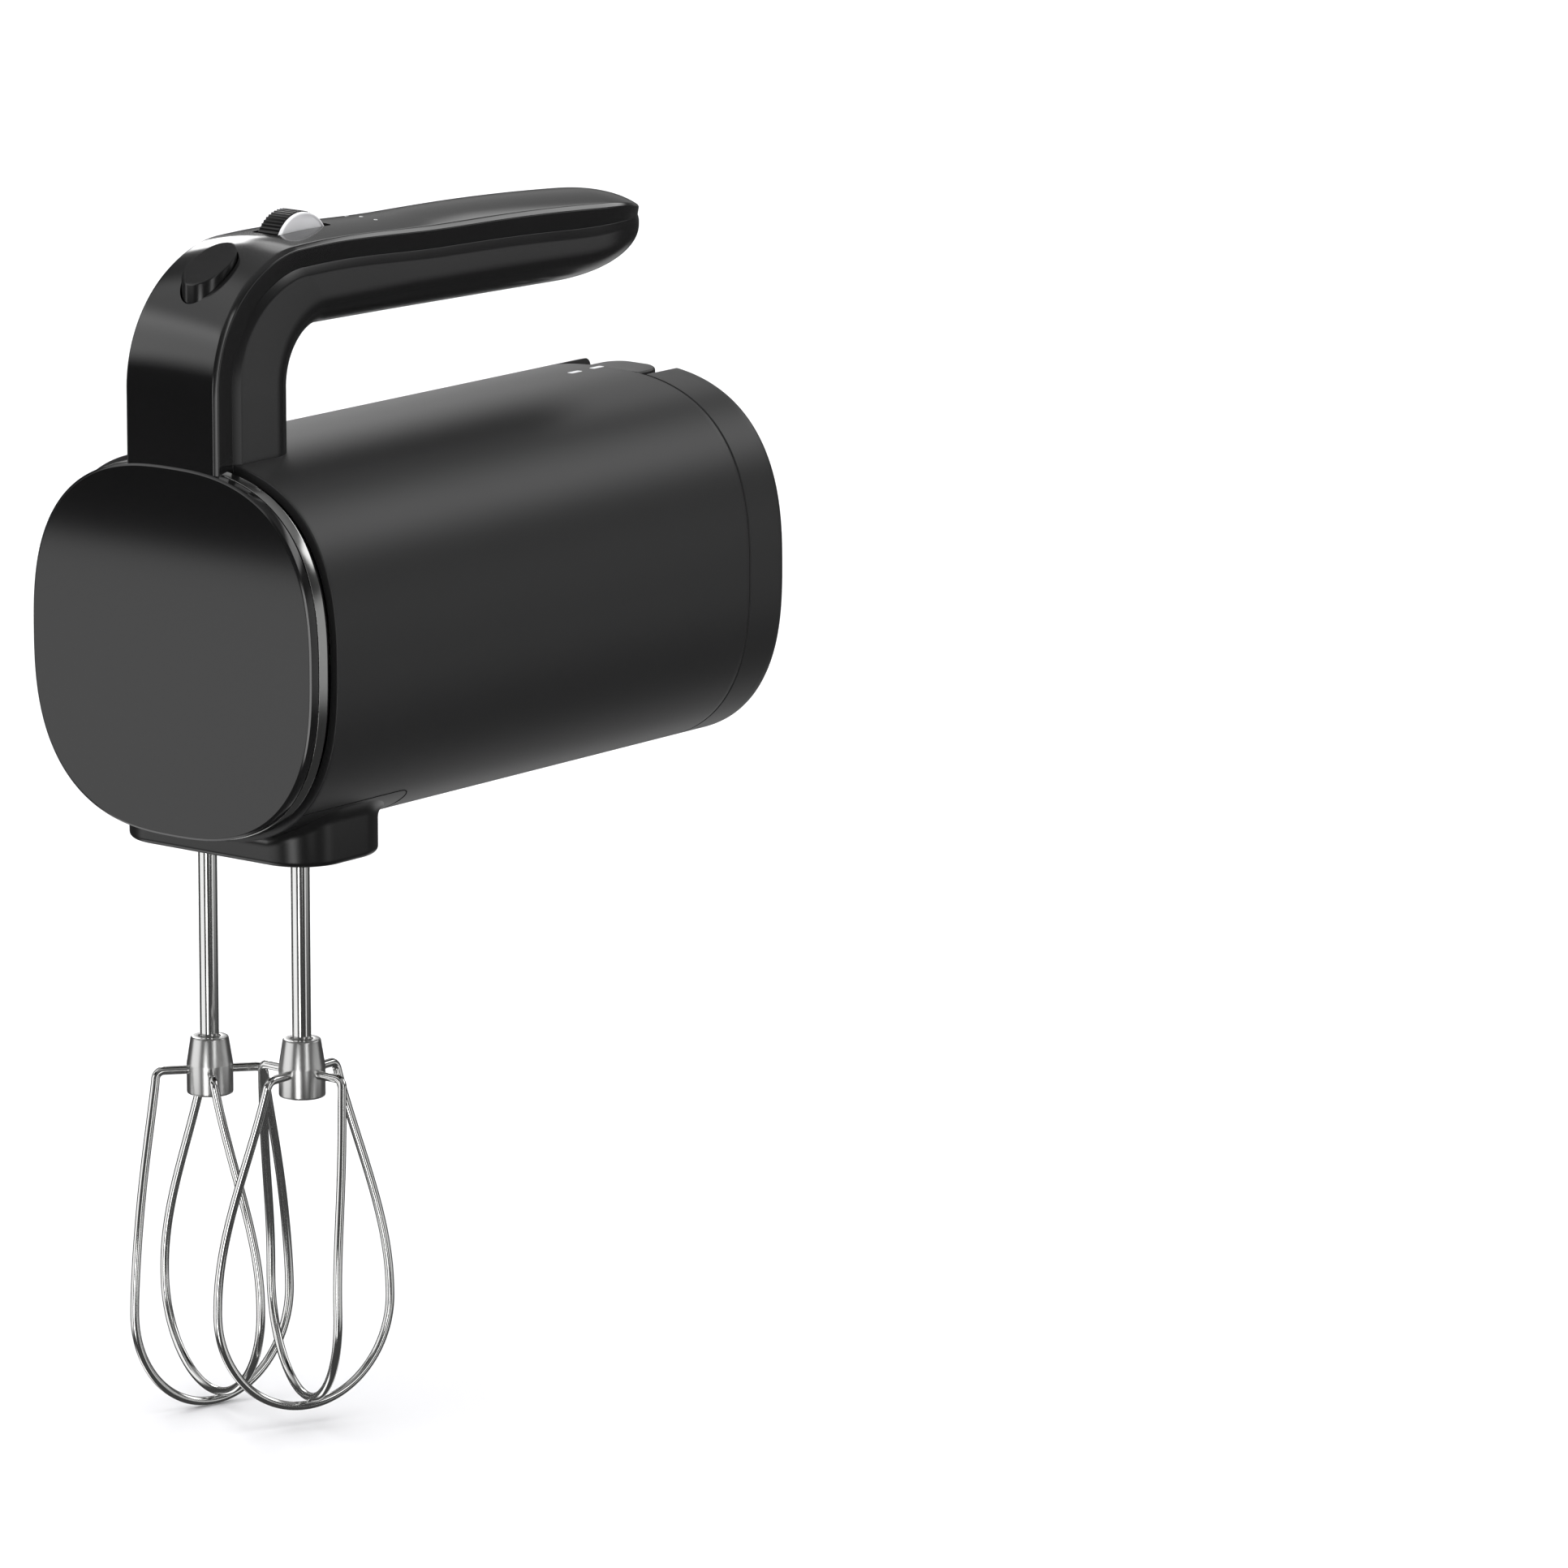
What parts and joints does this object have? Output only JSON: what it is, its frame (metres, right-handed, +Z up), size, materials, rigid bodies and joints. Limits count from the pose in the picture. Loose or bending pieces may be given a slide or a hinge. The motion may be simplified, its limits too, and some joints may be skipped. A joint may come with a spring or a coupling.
{
  "type": "hand mixer",
  "caption": "Cordless electric hand mixer: squarish barrel, cantilever handle with speed dial and eject button, rear battery pack and wire beaters.",
  "frame": {"origin": "under the middle of the bounding box, at the lowest point of the beaters", "axes": "+Z up along the beater shafts, -Y out of the front face, +Y towards the rear of the barrel and the free end of the handle, +X to the side"},
  "size_m": [0.102, 0.1966, 0.3278],
  "materials": {
    "gloss_black": "glossy moulded plastic",
    "satin_black_grip": "semi-gloss moulded plastic",
    "satin_black_barrel": "satin painted shell",
    "front_face": "semi-gloss plate with a glossy rim",
    "rubber_black": "dull black",
    "satin_black_collar": "satin moulded plastic",
    "cast_metal": "as cast",
    "plain_steel": "machined",
    "nylon": "natural moulded",
    "motor_steel": "rolled",
    "matte_black_inner": "moulded",
    "copper_winding": "enamelled copper",
    "polished_steel": "polished stainless steel",
    "satin_black_button": "semi-gloss moulded plastic",
    "matte_black_dial": "fine ribbed",
    "white_mark": "satin white",
    "circuit_board": "solder mask",
    "lamp_clear": "clear light pipe",
    "satin_black_battery": "satin painted shell",
    "cell_wrap": "shrink-wrapped cell",
    "contact_brass": "plated"
  },
  "bodies": {
    "housing": {"handle_top_cover": "gloss_black", "handle_grip_shell": "satin_black_grip", "barrel_sleeve": "satin_black_barrel", "front_cover": "front_face", "front_gasket": "rubber_black", "collar_housing": "satin_black_collar", "gearbox_frame": "cast_metal", "worm_bearing": "plain_steel", "gearbox_lid": "cast_metal", "gearbox_screw_1": "plain_steel", "gearbox_screw_2": "plain_steel", "gearbox_screw_3": "plain_steel", "gearbox_screw_4": "plain_steel", "spindle_bush_left": "nylon", "spindle_bush_right": "nylon", "motor_can": "motor_steel", "motor_end_cap": "matte_black_inner", "rod_guide": "nylon", "eject_spring": "plain_steel", "dial_bracket_left": "nylon", "dial_bracket_right": "nylon", "control_board": "circuit_board", "lamp_pipe_left": "lamp_clear", "lamp_pipe_centre": "lamp_clear", "lamp_pipe_right": "lamp_clear", "main_board": "circuit_board", "handle_lead": "rubber_black", "housing_contacts": "contact_brass"},
    "rotor": {"motor_shaft": "plain_steel", "rotor_core": "copper_winding", "commutator": "copper_winding", "cooling_fan": "matte_black_inner", "worm": "plain_steel"},
    "left_spindle": {"spindle_left": "plain_steel", "gear_left": "nylon"},
    "right_spindle": {"spindle_right": "plain_steel", "gear_right": "nylon"},
    "left_beater": {"beater_shaft_left": "polished_steel", "beater_hub_left": "polished_steel", "beater_wire_left_a": "polished_steel", "beater_wire_left_b": "polished_steel"},
    "right_beater": {"beater_shaft_right": "polished_steel", "beater_hub_right": "polished_steel", "beater_wire_right_a": "polished_steel", "beater_wire_right_b": "polished_steel"},
    "eject": {"eject_button": "satin_black_button", "eject_rod": "nylon", "eject_yoke": "nylon"},
    "dial": {"dial_wheel": "matte_black_dial", "dial_pointer_ring": "white_mark", "dial_axle": "plain_steel"},
    "battery": {"battery_case": "satin_black_battery", "battery_cell_left": "cell_wrap", "battery_cell_centre": "cell_wrap", "battery_cell_right": "cell_wrap", "battery_contacts": "contact_brass", "release_spring": "plain_steel"},
    "release": {"release_button": "satin_black_battery"}
  },
  "joints": [
    {"name": "motor_spin", "type": "hinge", "parent": "housing", "child": "rotor", "pos_m": [0, -0.01825, 0.21575], "axis": [0, 1, 0], "continuous": true},
    {"name": "left_spindle_spin", "type": "hinge", "parent": "housing", "child": "left_spindle", "pos_m": [-0.01655, -0.06595, 0.21575], "axis": [0, 0, 1], "continuous": true},
    {"name": "right_spindle_spin", "type": "hinge", "parent": "housing", "child": "right_spindle", "pos_m": [0.01655, -0.06595, 0.21575], "axis": [0, 0, 1], "continuous": true},
    {"name": "left_beater_slide", "type": "slide", "parent": "left_spindle", "child": "left_beater", "axis": [0, 0, -1], "range_m": [0, 0.007]},
    {"name": "right_beater_slide", "type": "slide", "parent": "right_spindle", "child": "right_beater", "axis": [0, 0, -1], "range_m": [0, 0.007]},
    {"name": "eject_press", "type": "slide", "parent": "housing", "child": "eject", "axis": [0, 0, -1], "range_m": [0, 0.007], "stiffness_N_per_m": 500, "springref_m": -0.01, "deforming": ["eject_spring"]},
    {"name": "dial_turn", "type": "hinge", "parent": "housing", "child": "dial", "pos_m": [0, -0.04825, 0.31735], "axis": [1, 0, 0], "range_deg": [0, 150]},
    {"name": "battery_slide", "type": "slide", "parent": "housing", "child": "battery", "axis": [0, 1, 0], "range_m": [0, 0.07]},
    {"name": "release_press", "type": "slide", "parent": "battery", "child": "release", "axis": [0, 0, -1], "range_m": [0, 0.002], "stiffness_N_per_m": 400, "springref_m": -0.004, "deforming": ["release_spring"]}
  ],
  "couplings": [
    {"joint": "left_spindle_spin", "follows": "motor_spin", "ratio": -0.083333},
    {"joint": "right_spindle_spin", "follows": "motor_spin", "ratio": 0.083333},
    {"joint": "left_beater_slide", "follows": "eject_press", "ratio": 1},
    {"joint": "right_beater_slide", "follows": "eject_press", "ratio": 1}
  ]
}
